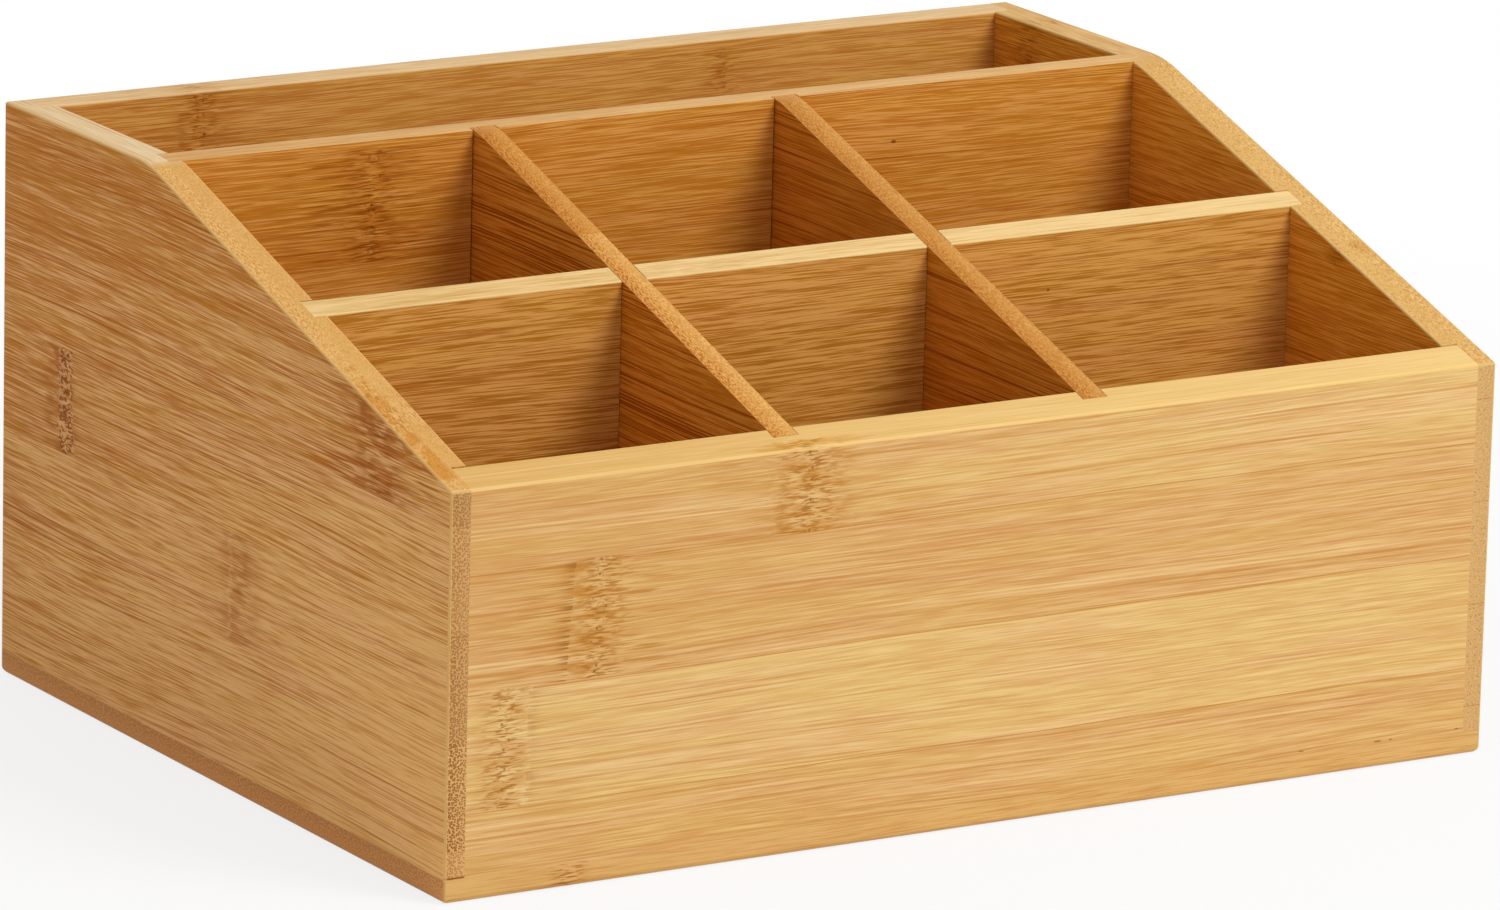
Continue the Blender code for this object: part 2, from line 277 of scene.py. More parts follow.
class NodeBench:
    """Adds nodes to a tree, one after the other in tidy columns, and joins them."""

    ROWS = 7
    COLUMN_STEP = 210
    ROW_STEP = 190

    def __init__(self, tree):
        self.tree = tree
        self.made = 0

    def add(self, kind, **settings):
        """A new node with some of its settings."""
        node = self.tree.nodes.new(kind)
        column, row = divmod(self.made, self.ROWS)
        node.location = (column * self.COLUMN_STEP, -row * self.ROW_STEP)
        self.made += 1
        for name, setting in settings.items():
            setattr(node, name, setting)
        return node

    def feed(self, socket, source):
        """Join a socket to another one, or give it a fixed value."""
        if isinstance(source, bpy.types.NodeSocket):
            self.tree.links.new(source, socket)
        elif socket.type == "RGBA" and len(source) == 3:
            socket.default_value = (*source, 1.0)
        else:
            socket.default_value = source

    def feed_named(self, node, **sources):
        """Feed inputs of a node by name, and return its first output if it has one."""
        for name, source in sources.items():
            self.feed(node.inputs[name], source)
        return node.outputs[0] if node.outputs else None

    def calculate(self, kind, sources, **settings):
        """The result of a node that takes its inputs in order."""
        node = self.add(kind, **settings)
        for socket, source in zip(node.inputs, sources):
            self.feed(socket, source)
        return node.outputs[0]

    def math(self, operation, *sources, clamp=False):
        return self.calculate("ShaderNodeMath", sources, operation=operation, use_clamp=clamp)

    def vector(self, operation, *sources):
        return self.calculate("ShaderNodeVectorMath", sources, operation=operation)

    def combine(self, along, across, through):
        return self.calculate("ShaderNodeCombineXYZ", (along, across, through))

    def plus(self, first, second):
        return self.math("ADD", first, second)

    def minus(self, first, second):
        return self.math("SUBTRACT", first, second)

    def over(self, first, second):
        return self.math("DIVIDE", first, second)

    def rest(self, part):
        """What a part leaves of one."""
        return self.math("SUBTRACT", 1.0, part)

    def line(self, source, slope, start):
        """The source times a slope, plus a start."""
        return self.math("MULTIPLY_ADD", source, slope, start)

    def times(self, product, *factors):
        for factor in factors:
            product = self.math("MULTIPLY", product, factor)
        return product

    def largest(self, largest, *sources):
        for source in sources:
            largest = self.math("MAXIMUM", largest, source)
        return largest

    def vector_length(self, vector):
        node = self.add("ShaderNodeVectorMath", operation="LENGTH")
        self.feed(node.inputs[0], vector)
        return node.outputs["Value"]

    def separate(self, vector):
        node = self.add("ShaderNodeSeparateXYZ")
        self.feed(node.inputs[0], vector)
        return tuple(node.outputs)

    def stretched(self, vector, along, across, through=None):
        """The vector divided by a cell size in each direction."""
        through = across if through is None else through
        return self.vector("DIVIDE", vector, self.combine(along, across, through))

    def noise(self, vector, detail=0.0, roughness=0.5, distortion=0.0):
        return self.feed_named(self.add("ShaderNodeTexNoise", noise_dimensions="3D"), Vector=vector,
                               Scale=1.0, Detail=detail, Roughness=roughness, Distortion=distortion)

    def spots(self, first, second, spacing):
        """Distance to the nearest of the scattered points, and a chance value of that point."""
        node = self.add("ShaderNodeTexVoronoi", voronoi_dimensions="2D", feature="F1")
        place = self.combine(self.over(first, spacing), self.over(second, spacing), 0.0)
        distance = self.feed_named(node, Vector=place, Scale=1.0, Randomness=0.85)
        return distance, self.separate(node.outputs["Color"])[0]

    def random(self, number):
        node = self.add("ShaderNodeTexWhiteNoise", noise_dimensions="1D")
        self.feed(node.inputs["W"], number)
        return node.outputs["Color"]

    def ease(self, source, start, end, low=0.0, high=1.0):
        """A smooth change from low to high while the source goes from start to end."""
        return self.calculate("ShaderNodeMapRange", (source, start, end, low, high),
                              interpolation_type="SMOOTHSTEP")

    def window(self, source, start, end, soft):
        """One between start and end, fading to nothing over a soft border."""
        rising = self.ease(source, self.minus(start, soft), start)
        falling = self.ease(source, end, self.plus(end, soft), 1.0, 0.0)
        return self.times(rising, falling)

    def mix(self, factor, first, second):
        node = self.add("ShaderNodeMix", data_type="RGBA")
        self.feed(node.inputs["Factor"], factor)
        self.feed(node.inputs[6], first)
        self.feed(node.inputs[7], second)
        return node.outputs[2]

    def tinted(self, color, factors):
        return self.vector("MULTIPLY", color, factors)

    def tint(self, part, color, factors):
        """The colour, multiplied by the factors as far as the part says."""
        return self.mix(part, color, self.tinted(color, factors))


def socket_kind(name, default):
    """What a socket of a group carries: a place or a tint, a colour, or a number."""
    if name == "Board" or name.endswith("Tint"):
        return "NodeSocketVector"
    return "NodeSocketColor" if isinstance(default, tuple) else "NodeSocketFloat"


def new_group(name, inputs, outputs):
    """An empty node group with its sockets, and the bench to fill it."""
    group = bpy.data.node_groups.new(name, "ShaderNodeTree")
    for socket_name, default in inputs.items():
        kind = socket_kind(socket_name, default)
        socket = group.interface.new_socket(socket_name, in_out="INPUT", socket_type=kind)
        if kind == "NodeSocketColor":
            socket.default_value = (*default, 1.0)
        elif default is not None:
            socket.default_value = default
    for socket_name, default in outputs.items():
        kind = socket_kind(socket_name, default)
        group.interface.new_socket(socket_name, in_out="OUTPUT", socket_type=kind)
    bench = NodeBench(group)
    return group, bench, bench.add("NodeGroupInput").outputs, bench.add("NodeGroupOutput")


def empty_bench(owner):
    """The bench for a material or a world that has no nodes yet."""
    owner.use_nodes = True
    owner.node_tree.nodes.clear()
    return NodeBench(owner.node_tree)


def grain_group(name):
    """The grain of solid bamboo, from a board's own directions."""
    group, bench, given, result = new_group(
        name,
        {"Board": None, "Seed": 0.0, "Stave Start": 0.0, "Stave Width": 28.0, "Seam Tilt": 0.0,
         "Bundle Spacing": 0.95, "Bundle Size": 0.25, "Fibre Slant": 1.0, "Outer": 0.5, "Slope": 0.0,
         "End": 0.0, "Inner": 0.0},
        {"Place": 0.0, **GRAIN})
    along, across, through = bench.separate(given["Board"])

    # Staves, each with its own piece of the pattern, between seams that are not quite straight
    wave = bench.noise(bench.combine(bench.over(along, SEAM_WAVE_LENGTH), 0.0, given["Seed"]))
    level = bench.line(along, given["Seam Tilt"], across)
    level = bench.plus(level, bench.line(wave, SEAM_WAVE, -SEAM_WAVE / 2))
    place = bench.over(bench.minus(level, given["Stave Start"]), given["Stave Width"])
    chance = bench.random(bench.plus(bench.math("FLOOR", place), given["Seed"]))
    chance_one, chance_two, chance_three = bench.separate(chance)
    fraction = bench.math("FRACT", place)
    to_seam = bench.times(bench.math("MINIMUM", fraction, bench.rest(fraction)), given["Stave Width"])
    bench.feed_named(result, Place=place, Seam=bench.ease(to_seam, *SEAM_FADE, 1.0, 0.0))

    # Fibres wander a little, so on a face each bundle shows as a line with tapering ends
    bend = bench.noise(bench.stretched(given["Board"], 140.0, 22.0))
    dip = bench.stretched(given["Board"], 120.0, 6.0, 30.0)
    dip = bench.noise(bench.vector("ADD", dip, (7.0, 3.0, 5.0)))
    slant = bench.times(bench.line(chance_two, 0.03, -0.015), along)
    dip = bench.times(bench.plus(bench.line(dip, 5.0, -2.5), slant), given["Fibre Slant"])
    wide = bench.plus(bench.line(bend, 5.0, across), bench.times(chance_one, STAVE_SHIFT))
    deep = bench.plus(bench.plus(through, dip), bench.times(chance_three, STAVE_SHIFT))
    fibre = bench.combine(bench.line(chance_two, STAVE_SLIDE, along), wide, deep)

    # Bundles are round dots on an end, and finer ones on a slope
    size = bench.times(given["Bundle Size"], bench.line(given["Outer"], 0.5, 0.75),
                       bench.line(given["End"], 0.75, 1.0))
    fineness = bench.plus(bench.line(given["Slope"], 0.3, 1.0), bench.times(given["End"], 0.3))
    bundles, fate = bench.spots(wide, deep, bench.over(given["Bundle Spacing"], fineness))
    fate = bench.largest(fate, bench.plus(given["Slope"], given["End"]))
    bundles = bench.times(bench.ease(bundles, size, bench.times(size, 0.5)), bench.rest(given["Inner"]))
    lines, _ = bench.spots(wide, deep, LINE_SPACING)
    fine = bench.vector("MULTIPLY", bench.stretched(fibre, *FINE_CELL), bench.combine(*(fineness,) * 3))
    bench.feed_named(result,
                     Bundles=bench.times(bundles, bench.ease(fate, 0.16, 0.52)),
                     Gleams=bench.times(bundles, bench.ease(fate, 0.24, 0.08)),
                     Lines=bench.ease(lines, 0.14, 0.06),
                     Fine=bench.noise(fine, 2.0, 0.65),
                     Streaks=bench.noise(bench.stretched(fibre, *STREAK_CELL), 2.0, 0.6),
                     Broad=bench.noise(bench.stretched(fibre, *BROAD_CELL), 1.0),
                     Patches=bench.noise(bench.stretched(fibre, *PATCH_CELL)))
    return group


def knuckle_texture_group(name):
    """Dashes, curls, dots and streaks for the knuckles of one board."""
    group, bench, given, result = new_group(name, {"Board": None, "Dash Length": 4.5}, TEXTURES)
    board = given["Board"]
    along, across, through = bench.separate(board)
    ragged = bench.noise(bench.combine(0.0, bench.over(across, 2.2), bench.over(through, 5.0)), 3.0, 0.7)
    dots, _ = bench.spots(along, across, DOT_SPACING)
    dash = bench.stretched(board, given["Dash Length"], DASH_WIDTH)
    bench.feed_named(result,
                     Wander=bench.line(ragged, WANDER, -WANDER / 2),
                     Dash=bench.noise(dash, 1.0, 0.5, 0.3),
                     Curl=bench.noise(bench.stretched(board, *CURL_CELL), 0.0, 0.5, 1.2),
                     Dot=dots,
                     Streak=bench.noise(bench.stretched(board, 18.0, 0.6, 1.5), 1.0, 0.6),
                     Cloud=bench.noise(bench.stretched(board, *CLOUD_CELL), 1.0))
    return group


def knuckle_group(name):
    """The place across a stave where the bamboo stem had a joint, added to the marks that come in."""
    group, bench, given, result = new_group(
        name,
        {"Board": None, "Middle": 0.0, "Lean": 0.0, "Low": 0.0, "High": 30.0, "Side": 1.0, "Edge": 6.0,
         "Spread": 12.0, "Width": 4.0, "Band": 0.0, "Ticks": 0.0, "Dashes": 0.0, "Spine": 0.0,
         "Worms": 0.0, "Streaking": 0.0, "Smudge": 0.0, "Smudge Place": 0.0, "Ridge": 0.0,
         **TEXTURES, **MARKS},
        MARKS)
    along, across, _ = bench.separate(given["Board"])
    inside = bench.window(across, given["Low"], given["High"], 0.5)
    lean = bench.times(bench.minus(across, given["Low"]), given["Lean"])
    place = bench.minus(bench.minus(along, given["Middle"]), lean)
    place = bench.line(place, given["Side"], bench.times(given["Wander"], 0.5))
    edge = bench.line(given["Edge"], -1.0, bench.times(given["Wander"], 0.3))
    distance = bench.math("ABSOLUTE", place)
    flare = bench.ease(distance, 0.0, given["Spread"], 1.0, 0.0)

    # Short dashes all round, dark and pale, and a ragged edge where the grain stops
    dashes = bench.times(bench.ease(given["Dash"], 0.50, 0.58), flare, given["Dashes"])
    gleams = bench.times(bench.ease(given["Dash"], 0.48, 0.40), flare, given["Dashes"])
    deep = bench.times(bench.ease(given["Dash"], 0.57, 0.63), flare, flare, given["Dashes"], 0.6)
    before_edge = bench.times(bench.ease(place, bench.minus(edge, 6.0), edge),
                              bench.math("LESS_THAN", place, bench.plus(edge, 0.4)))
    ticks = bench.times(before_edge, before_edge, given["Ticks"], bench.ease(given["Streak"], 0.49, 0.54))
    band = bench.times(bench.window(place, edge, 1.0, 1.2), given["Band"],
                       bench.ease(given["Cloud"], 0.58, 0.42, 0.2, 1.0))

    # Dots and curls of the spine, a belt of worms, and a ridge that catches the light
    curls = bench.times(bench.ease(given["Curl"], 0.39, 0.32), 0.5)
    dots = bench.times(bench.largest(bench.ease(given["Dot"], 0.12, 0.06), curls),
                       bench.ease(distance, 2.4, 1.4), given["Spine"])
    frayed = bench.plus(distance, bench.line(given["Cloud"], 4.0, -2.0))
    half = bench.times(given["Width"], 0.5)
    belt = bench.times(bench.ease(frayed, bench.plus(half, 0.8), half), given["Worms"])
    dark_worms = bench.times(bench.ease(given["Curl"], 0.50, 0.42), belt)
    pale_worms = bench.times(bench.ease(given["Curl"], 0.47, 0.54), belt)
    ridge = bench.math("ABSOLUTE", bench.line(given["Wander"], 0.5, bench.plus(place, RIDGE_PLACE)))
    ridge = bench.plus(ridge, bench.times(given["Curl"], 2.0))
    ridge = bench.times(bench.ease(ridge, 2.2, 1.0), given["Ridge"])

    # Long streaks that fade out on both sides, and a warm cloud
    reach = bench.times(bench.ease(distance, STREAK_REACH, given["Spread"]), bench.ease(distance, 0.0, 4.0))
    streaks = bench.times(reach, bench.ease(given["Streak"], 0.52, 0.66), given["Streaking"])
    cloud = bench.math("ABSOLUTE", bench.minus(place, given["Smudge Place"]))
    cloud = bench.times(bench.ease(cloud, given["Spread"], 0.0),
                        bench.ease(given["Cloud"], 0.40, 0.60, 0.1, 1.0))
    cloud = bench.math("MULTIPLY", cloud, given["Smudge"], clamp=True)

    made = {"Pale": bench.largest(bench.times(gleams, 0.5), pale_worms, ridge, band), "Warm": cloud,
            "Brown": bench.largest(dashes, streaks), "Dark": bench.largest(ticks, dots, dark_worms, deep)}
    for mark, source in made.items():
        bench.feed(result.inputs[mark], bench.largest(bench.times(source, inside), given[mark]))
    return group


def finish_group(name):
    """Colour, gloss and relief of lacquered bamboo from its grain and its knuckles."""
    group, bench, given, result = new_group(
        name,
        {"Tone": 0.5, "Light Tone": (0.8, 0.5, 0.2), "Deep Tone": (0.6, 0.3, 0.1),
         "Line Tone": (0.4, 0.15, 0.03), "Top Tone": (0.8, 0.5, 0.2), "End Tone": (0.58, 0.325, 0.125),
         "Flat Top Sheen Tint": (1.0, 1.0, 1.0), "Outer Tint": (1.0, 1.0, 1.0), "Outer Calm": 0.0,
         "Slope": 0.0, "Slope Strength": 1.0, "Slope Tone": 0.42, "Slope Lean": 0.0, "Inner": 0.0,
         "Outer": 0.5, "End": 0.0, "End Dots": 0.5, "Cut Shade": 1.0, "Line Strength": 0.4,
         "Bundle Strength": 0.5, "Top Strength": 0.5, "Contrast": 1.0, "Fine Contrast": 1.0,
         "Seam Strength": 0.4, **GRAIN, **MARKS},
        {"Color": (0.8, 0.5, 0.2), "Roughness": 0.5, "Height": 0.0})
    light, top_tone = given["Light Tone"], given["Top Tone"]
    slope, end, inner, outer = (given[part] for part in ("Slope", "End", "Inner", "Outer"))
    is_top = bench.add("ShaderNodeAttribute", attribute_name="sanded_top").outputs["Fac"]
    flat_top = bench.times(is_top, bench.rest(slope))
    outer_face = bench.times(bench.ease(outer, 0.9, 1.0),
                             bench.rest(bench.largest(slope, end, is_top)))
    outside = bench.rest(inner)

    # How light the wood is at each point, from its stave, its broad shades and its finest fibres
    uneven = bench.plus(bench.line(given["Broad"], 0.8, -0.4), bench.line(given["Streaks"], 1.6, -0.8))
    fine = bench.ease(given["Fine"], 0.32, 0.68, -0.34, 0.34)
    fine = bench.plus(bench.line(given["Fine"], 1.3, -0.65), fine)
    calm = bench.plus(bench.times(flat_top, 0.7), bench.times(slope, 0.25))
    calm = bench.line(outer_face, given["Outer Calm"], bench.line(inner, 0.3, calm))
    fine = bench.times(fine, bench.rest(calm))
    tone = bench.line(bench.minus(given["Slope Tone"], given["Tone"]), slope, given["Tone"])
    tone = bench.line(uneven, given["Contrast"], tone)
    tone = bench.line(fine, given["Fine Contrast"], tone)
    tone = bench.math("MULTIPLY_ADD", tone, 1.15, -0.075, clamp=True)
    color = bench.mix(tone, given["Deep Tone"], light)

    # Some patches are rosier and others more golden
    rosy = bench.plus(given["Patches"], bench.line(given["Streaks"], 0.8, -0.4))
    rosy = bench.ease(bench.line(given["Tone"], -0.4, rosy), 0.12, 0.52)
    color = bench.tinted(color, bench.mix(rosy, (1.0, 1.025, 0.97), (1.0, 0.985, 1.05)))

    # Sanded tops and sawn ends have tones of their own, and so has the warm cloud of a knuckle
    top = bench.mix(tone, bench.tinted(top_tone, (0.80, 0.70, 0.52)),
                    bench.tinted(top_tone, (1.08, 1.14, 1.26)))
    color = bench.mix(bench.times(is_top, given["Top Strength"]), color, top)
    sawn = bench.tinted(given["End Tone"], bench.combine(*(given["Cut Shade"],) * 3))
    color = bench.mix(bench.times(end, 0.85), color, sawn)
    warm_tone = bench.mix(is_top, bench.tinted(given["Deep Tone"], (0.83, 0.63, 0.20)),
                          bench.tinted(top_tone, (0.76, 0.48, 0.15)))
    color = bench.mix(bench.times(given["Warm"], outside, 0.75), color, warm_tone)
    # Painted sheen: flat tops are tinted paler and whiter than the slopes, as light from above makes them
    # look
    color = bench.tint(flat_top, color, given["Flat Top Sheen Tint"])
    # On the right side panel the Outer Tint lifts the painted shade of its tones off its outer face
    color = bench.tint(outer_face, color, given["Outer Tint"])
    # Painted shade: the inner part of a slope is tinted darker and more orange, where it turns to the inner
    # face
    color = bench.tint(inner, color, (0.95, 0.92, 0.85))
    lean = bench.line(bench.minus(0.5, outer), given["Slope Lean"], 0.05)
    shade = bench.plus(given["Cut Shade"], lean)
    squared = bench.times(shade, shade)
    color = bench.tint(slope, color, bench.combine(shade, squared, bench.times(squared, squared)))

    # Fibre bundles, dark lines and the seams between staves
    line_tone = bench.mix(is_top, given["Line Tone"], bench.tinted(top_tone, (0.64, 0.42, 0.15)))
    patches = bench.times(bench.ease(given["Patches"], 0.3, 0.65, 0.5, 1.0),
                          bench.line(given["Pale"], -0.85, 1.0),
                          bench.ease(given["Tone"], 0.4, 0.8, 1.0, 0.7))
    weaker = bench.times(slope, bench.rest(given["Slope Strength"]))
    bundles = bench.times(given["Bundles"], patches, given["Bundle Strength"],
                          bench.line(flat_top, -0.45, 1.0), bench.rest(weaker), bench.rest(end))
    dots = bench.times(given["Bundles"], given["End Dots"], bench.line(outer, 0.3, 0.65))
    bundles = bench.line(dots, end, bundles)
    dot_tone = bench.tinted(given["Line Tone"], (0.55, 0.65, 1.0))
    gleams = bench.times(given["Gleams"], patches, given["Bundle Strength"])
    lines = bench.times(given["Lines"], patches, given["Line Strength"], bench.rest(slope))
    seam = bench.times(given["Seam"], bench.rest(is_top), given["Seam Strength"])
    color = bench.mix(bundles, color, bench.mix(end, line_tone, dot_tone))
    color = bench.mix(gleams, color, bench.tinted(light, (1.08, 1.15, 1.3)))
    color = bench.mix(lines, color, line_tone)
    color = bench.mix(seam, color, given["Line Tone"])

    # Knuckles, and the eased edges, lightened towards the top tone as sanded wear and a painted edge
    # highlight
    brown = bench.times(given["Brown"], outside)
    eased = bench.add("ShaderNodeAttribute", attribute_name="eased_edge").outputs["Fac"]
    color = bench.mix(bench.times(given["Pale"], 0.5), color, bench.tinted(light, (1.07, 1.15, 1.3)))
    color = bench.mix(bench.times(brown, 0.75), color, line_tone)
    color = bench.mix(bench.times(given["Dark"], 0.8), color, bench.tinted(line_tone, (0.6, 0.55, 0.5)))
    color = bench.mix(bench.times(eased, 0.6), color, top_tone)

    roughness = bench.line(given["Streaks"], 0.14, 0.35)
    roughness = bench.line(bench.largest(bundles, given["Dark"]), 0.1, roughness)
    relief = bench.times(given["Fine"], 0.015)
    for mark, depth in ((bundles, 0.012), (lines, 0.012), (given["Seam"], 0.012), (brown, 0.01),
                        (given["Dark"], 0.02)):
        relief = bench.line(mark, -depth, relief)
    bench.feed_named(result, Color=color, Roughness=roughness, Height=relief)
    return group


def bamboo_material(name):
    """The lacquered bamboo of one board, with its own staves and knuckles."""
    material = bpy.data.materials.new(name.replace("_", " ") + " bamboo")
    bench = empty_bench(material)
    settings = {**BAMBOO_COMMON, **BAMBOO[name]}
    tones = settings.pop("tones")
    rind = settings.pop("rind", 1.0)
    drift = settings.pop("drift", 0.0)
    drifts = drift if isinstance(drift, tuple) else (drift,) * len(tones)
    ends = settings.pop("ends", (PLAIN_END,) * len(tones))
    along, _, through = AXES[name]

    # The board's own directions, and the parts of it that are cut across the fibres
    place = bench.vector("MULTIPLY", bench.add("ShaderNodeTexCoord").outputs["Object"], (MILLIMETRES,) * 3)
    axes = bench.separate(place)
    board = bench.combine(*(axes[axis] for axis in AXES[name]))
    low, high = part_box(name)
    middle = (low[through] + high[through]) / 2 * MILLIMETRES
    outward = math.copysign((high[through] - low[through]) / 2 * MILLIMETRES, middle) * rind
    outer = bench.ease(axes[through], middle - outward, middle + outward)
    facing = bench.separate(bench.add("ShaderNodeTexCoord").outputs["Normal"])
    cut = bench.math("ABSOLUTE", facing[along])
    slope = bench.window(cut, 0.22, 0.4, 0.12)
    cuts = {"Outer": outer, "Slope": slope, "End": bench.ease(cut, 0.5, 0.85),
            "Inner": bench.times(slope, bench.ease(outer, 0.66, 0.42))}

    def use_group(title, build, *sources):
        """A node of a group, built when it is first used, that takes whatever it has a socket for."""
        group = bpy.data.node_groups.get(title) or build(title)
        node = bench.add("ShaderNodeGroup", node_tree=group)
        for source in sources:
            for socket, value in source.items():
                if socket in node.inputs:
                    bench.feed(node.inputs[socket], value)
        return {socket.name: socket for socket in node.outputs}

    grain = use_group("Bamboo Grain", grain_group, settings, cuts, {"Board": board})
    marks = MARKS
    if name in KNUCKLES:
        textures = use_group("Knuckle Marks", knuckle_texture_group, {"Board": board}, settings)
        for knuckle in KNUCKLES[name]:
            marks = use_group("Bamboo Knuckle", knuckle_group, {"Board": board}, textures, knuckle, marks)
    dark = marks["Dark"]
    for speck_along, speck_across, length, width in SPECKS.get(name, ()):
        away = bench.vector("SUBTRACT", board, (speck_along, speck_across, 0.0))
        away = bench.vector("MULTIPLY", away, (1.0 / length, 1.0 / width, 0.0))
        dark = bench.largest(bench.ease(bench.vector_length(away), 1.0, 0.5), dark)

    # For each stave from the lowest to the highest: its tone, the dots on its ends, the shade of its cuts
    # and, in the ramp's alpha, how its tone changes along it, partly painted light towards the lamp's side
    ramp = bench.add("ShaderNodeValToRGB")
    bench.feed(ramp.inputs[0], bench.over(grain["Place"], len(tones)))
    ramp.color_ramp.interpolation = "CONSTANT"
    stops = ramp.color_ramp.elements
    while len(stops) < len(tones):
        stops.new(0.5)
    for index, (tone, drift, (dots, shade)) in enumerate(zip(tones, drifts, ends)):
        stops[index].position = index / len(tones)
        stops[index].color = (tone, dots, shade, 0.5 + drift * DRIFT_SCALE)
    tone, dots, shade = bench.separate(ramp.outputs[0])
    change = bench.over(bench.minus(ramp.outputs[1], 0.5), DRIFT_SCALE)
    # The tone changes steadily along each stave: partly its own tone, partly painted light towards the lamp
    tone = bench.line(axes[along], change, tone)
    wood = use_group("Bamboo Finish", finish_group, settings, grain, marks, cuts,
                     {"Tone": tone, "End Dots": dots, "Cut Shade": shade, "Dark": dark})

    normal = bench.feed_named(bench.add("ShaderNodeBump"), Strength=1.0, Distance=1.0 / MILLIMETRES,
                              Height=wood["Height"])
    shader = bench.add("ShaderNodeBsdfPrincipled")
    shader.inputs["IOR"].default_value = LACQUER_IOR
    shader.inputs["Specular IOR Level"].default_value = LACQUER_SHEEN
    bench.feed(shader.inputs["Base Color"], wood["Color"])
    lacquered = bench.feed_named(shader, Roughness=wood["Roughness"], Normal=normal)
    bench.feed_named(bench.add("ShaderNodeOutputMaterial"), Surface=lacquered)
    return material


def new_object(name, content):
    """An object in the scene with this mesh, lamp or camera."""
    made = bpy.data.objects.new(name, content)
    bpy.context.scene.collection.objects.link(made)
    return made


def shaped_object(name, shape):
    """An object in the scene with the finished shape as its mesh."""
    mesh = bpy.data.meshes.new(name)
    shape.to_mesh(mesh)
    shape.free()
    return new_object(name, mesh)


def surface_tree(node):
    """The surface of a CAD node, ready for finding its nearest point."""
    shape = bmesh.new()
    shape.from_mesh(node.data)
    tree = BVHTree.FromBMesh(shape)
    shape.free()
    return tree


def glued(point, neighbours):
    """Whether another board is close enough to be glued at this point."""
    return any(tree.find_nearest(point, TOUCH_DISTANCE)[0] is not None for tree in neighbours)


def face_is_glued(face, neighbours):
    """Whether a whole face lies against other boards."""
    middle = face.calc_center_median()
    points = [middle] + [corner.co.lerp(middle, CORNER_INSET) for corner in face.verts]
    return all(glued(point, neighbours) for point in points)


def free_square_edges(shape, joint_faces, neighbours):
    """The outward edges of a board that no glue line covers."""
    square = []
    for edge in shape.edges:
        if len(edge.link_faces) != 2 or joint_faces.intersection(edge.link_faces) or not edge.is_convex:
            continue
        middle = (edge.verts[0].co + edge.verts[1].co) / 2
        if edge.calc_face_angle() > SQUARE_ANGLE and not glued(middle, neighbours):
            square.append(edge)
    return square


def close_joints(joint_faces, settings):
    """Move the glued faces of a board towards its neighbours."""
    moves = {}
    for face in joint_faces:
        push = settings.seat_push if face.normal.z < DOWNWARD else settings.joint_push
        direction = tuple(round(part) for part in face.normal)
        for corner in face.verts:
            moves.setdefault(corner, {})[direction] = push
    for corner, pushes in moves.items():
        for direction, push in pushes.items():
            corner.co += Vector(direction) * push


def dress_board(name):
    """A board with closed glue lines and eased edges, in place of the CAD node of the same name."""
    settings = bpy.context.scene.sorter_edges
    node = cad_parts[name]
    neighbours = [surface_tree(other) for key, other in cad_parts.items() if key != name]

    shape = bmesh.new()
    shape.from_mesh(node.data)
    bmesh.ops.remove_doubles(shape, verts=shape.verts, dist=WELD_DISTANCE)
    bmesh.ops.dissolve_limit(shape, angle_limit=FLAT_ANGLE, verts=shape.verts, edges=shape.edges)
    shape.normal_update()
    joint_faces = {face for face in shape.faces if face_is_glued(face, neighbours)}
    square = free_square_edges(shape, joint_faces, neighbours)
    close_joints(joint_faces, settings)

    # Eased faces are marked for the material, which lightens them: sanded wear and a painted edge highlight
    wear_and_highlight = shape.faces.layers.float.new("eased_edge")
    sanded = shape.faces.layers.float.new("sanded_top")
    for face in shape.faces:
        face[sanded] = 1.0 if face.normal.z > UPWARD else 0.0
    width = settings.divider_ease if "divider" in name else settings.panel_ease
    eased = bmesh.ops.bevel(shape, geom=square, affect="EDGES", segments=3, profile=0.5, material=-1,
                            offset=width, clamp_overlap=True)
    for face in eased["faces"]:
        face[wear_and_highlight] = 1.0
    shape.normal_update()
    for face in shape.faces:
        face.smooth = True
    for edge in shape.edges:
        edge.smooth = edge.calc_face_angle(0.0) < SQUARE_ANGLE

    board = shaped_object(name + "_bamboo", shape)
    shading = board.modifiers.new("even shading", "WEIGHTED_NORMAL")
    shading.weight = 50
    shading.keep_sharp = True
    board.data.materials.append(bamboo_material(name))
    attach(board, "root")
    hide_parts(name)
    return board


class SorterEdges(bpy.types.PropertyGroup):
    """Eased edges and glue lines of the boards."""

    panel_ease: FloatProperty(
        name="Panel Edges", description="How far the free edges of the outer boards are eased",
        default=0.0006, min=0.0, max=0.003, precision=5, unit="LENGTH")
    divider_ease: FloatProperty(
        name="Divider Edges", description="How far the free edges of the dividers are eased",
        default=0.0004, min=0.0, max=0.002, precision=5, unit="LENGTH")
    joint_push: FloatProperty(
        name="Joint Closing", description="How far each glued face moves towards its neighbour",
        default=0.000148, min=0.0, max=0.00015, precision=6, unit="LENGTH")
    seat_push: FloatProperty(
        name="Seat Closing", description="How far the upright boards settle on the base",
        default=0.000295, min=0.0, max=0.0003, precision=6, unit="LENGTH")


